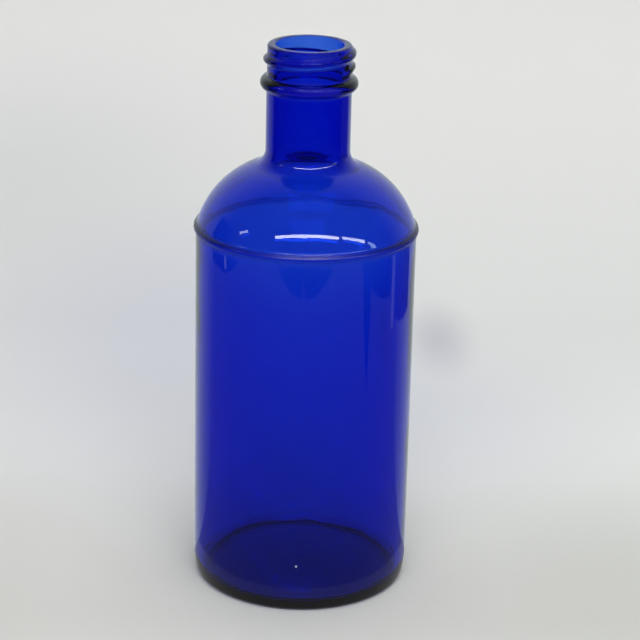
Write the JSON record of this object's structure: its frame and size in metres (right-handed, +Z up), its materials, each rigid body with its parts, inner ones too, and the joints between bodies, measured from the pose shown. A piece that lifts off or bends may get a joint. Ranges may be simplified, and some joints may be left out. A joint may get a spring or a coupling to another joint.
{
  "type": "apothecary bottle",
  "caption": "Round narrow-mouth bottle with a domed shoulder, a shoulder ring, a beaded neck and an external screw finish.",
  "frame": {"origin": "on the bottle's axis, in the plane of the flat ring that it stands on", "axes": "+Z up along the bottle's axis, out of the mouth; -Y is the side that the picture shows, +X to its right"},
  "size_m": [0.0672, 0.0672, 0.1676],
  "materials": {
    "glass": "clear cobalt blue glass, fire-polished and smooth"
  },
  "bodies": {
    "root": {"bottle": "glass"}
  },
  "joints": []
}
